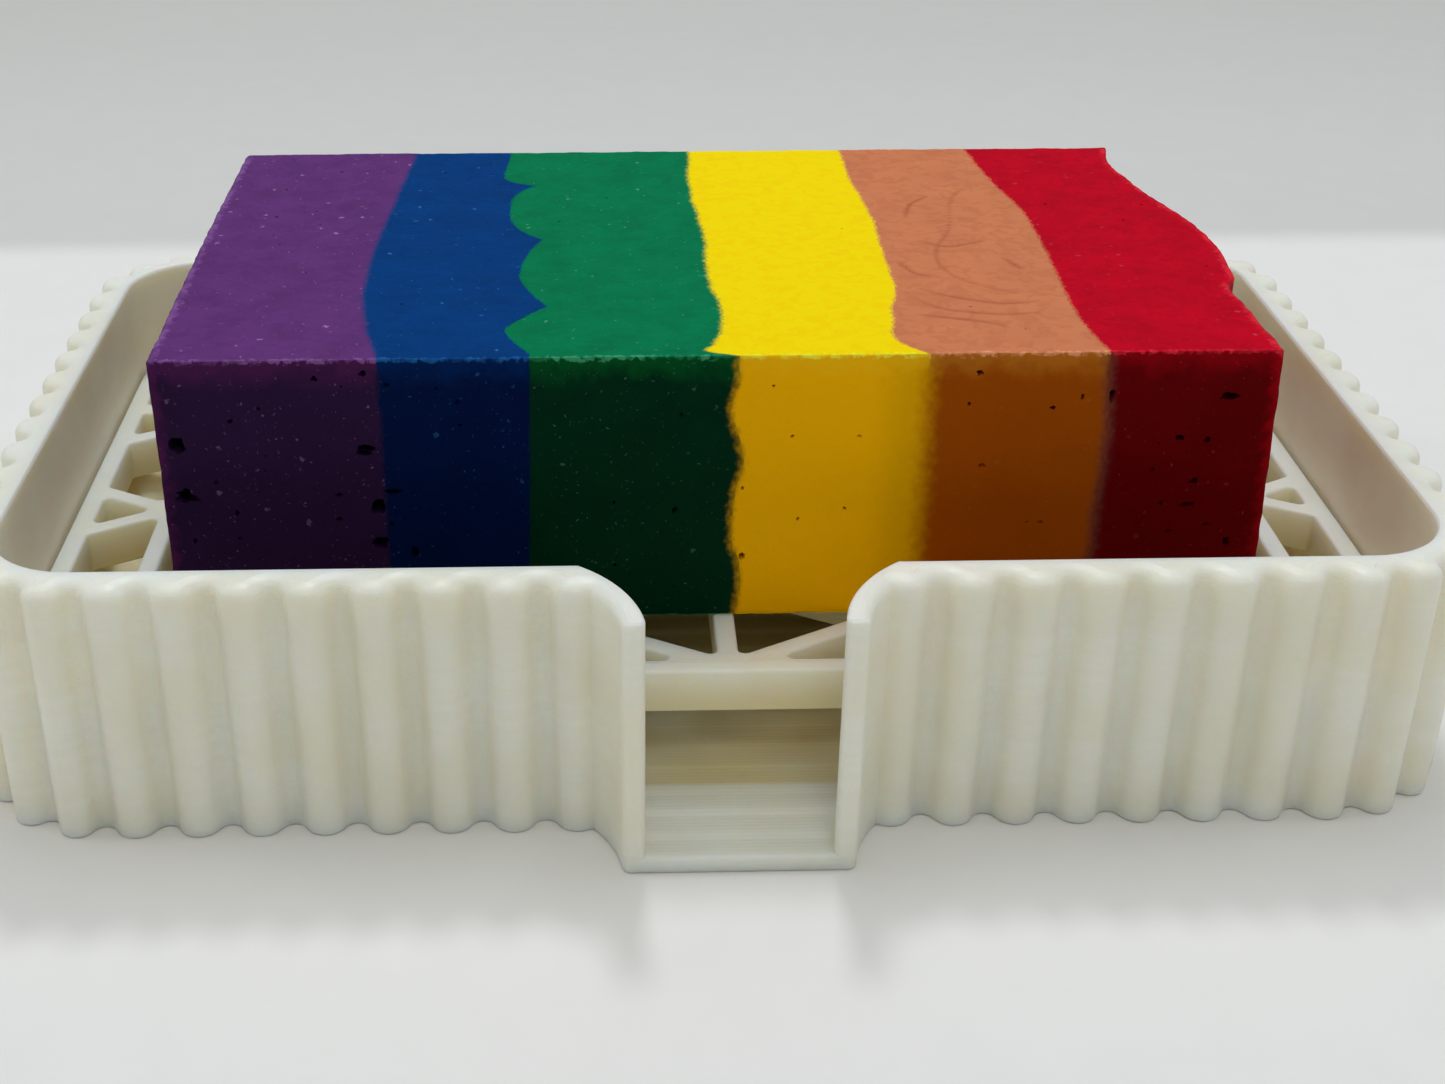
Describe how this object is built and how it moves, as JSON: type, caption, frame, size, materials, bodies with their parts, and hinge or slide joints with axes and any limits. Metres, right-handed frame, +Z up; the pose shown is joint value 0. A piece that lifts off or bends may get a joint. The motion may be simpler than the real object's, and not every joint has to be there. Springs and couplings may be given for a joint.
{
  "type": "soap dish",
  "caption": "Self-draining soap dish: ribbed oblong tray with an open front spout and sloping floor, a loose triangular drain grid inside, and a bar of layered coloured soap.",
  "frame": {"origin": "on the surface the dish stands on, under the middle of its outer box, spout included", "axes": "+X to the right along the long side as seen from the spout, +Y away from the spout, +Z up"},
  "size_m": [0.1208, 0.0794, 0.0356],
  "materials": {
    "printed_tray": "off-white printed plastic, fine layer lines, satin",
    "printed_grid": "off-white printed plastic, fine layer lines, satin",
    "soap_purple": "purple soap, waxy, fine pale specks and small pits",
    "soap_blue": "blue soap, waxy, fine pale specks and small pits",
    "soap_green": "green soap, waxy, fine pale specks and small pits",
    "soap_yellow": "yellow soap, waxy, fine pale specks and small pits",
    "soap_orange": "orange soap, waxy, fine pale specks and small pits",
    "soap_red": "red soap, waxy, fine pale specks and small pits"
  },
  "bodies": {
    "tray": {"tray": "printed_tray"},
    "drain_grid": {"drain_grid": "printed_grid"},
    "soap_bar": {"soap_layer_purple": "soap_purple", "soap_layer_blue": "soap_blue", "soap_layer_green": "soap_green", "soap_layer_yellow": "soap_yellow", "soap_layer_orange": "soap_orange", "soap_layer_red": "soap_red"}
  },
  "joints": [
    {"name": "grid_lift", "type": "slide", "parent": "tray", "child": "drain_grid", "axis": [0, 0, 1], "range_m": [0, 0.03]},
    {"name": "soap_lift", "type": "slide", "parent": "drain_grid", "child": "soap_bar", "axis": [0, 0, 1], "range_m": [0, 0.04]}
  ]
}
